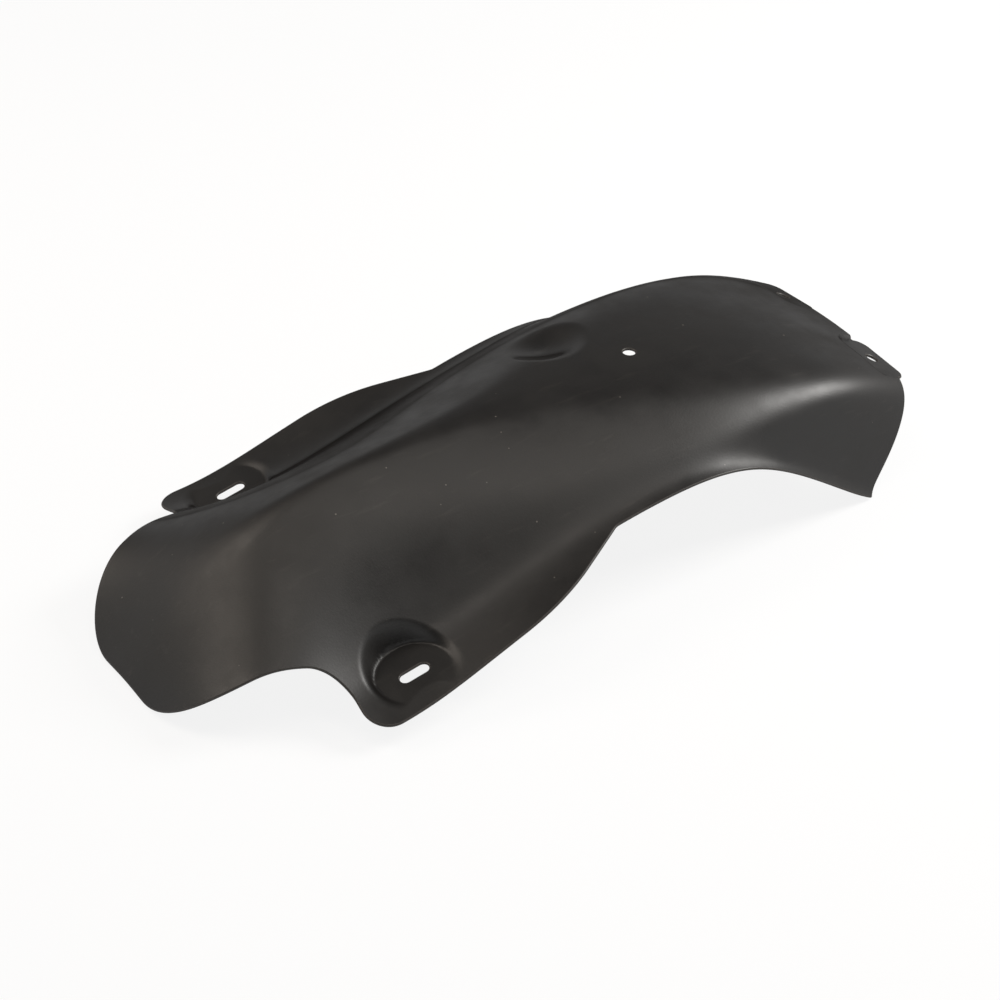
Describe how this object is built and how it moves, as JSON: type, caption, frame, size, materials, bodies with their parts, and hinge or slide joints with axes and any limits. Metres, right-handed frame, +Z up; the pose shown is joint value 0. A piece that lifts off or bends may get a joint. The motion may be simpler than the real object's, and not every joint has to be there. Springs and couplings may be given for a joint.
{
  "type": "motorcycle rear inner fender",
  "caption": "Thin black moulded inner fender for a motorcycle's rear wheel: an arched tunnel with a rounded tongue, slotted wings, a dimple and a saddle end with bolt ears.",
  "frame": {"origin": "middle of the base of the part's box, on the plane that the tongue's tip and the saddle's lower corners rest on", "axes": "+X from the tongue to the saddle end with the ears, +Y to the side of the dimple, +Z up, out of the convex side"},
  "size_m": [0.451, 0.2246, 0.0845],
  "materials": {
    "black_plastic": "matte with a fine moulded grain"
  },
  "bodies": {
    "root": {"inner_fender": "black_plastic"}
  },
  "joints": []
}
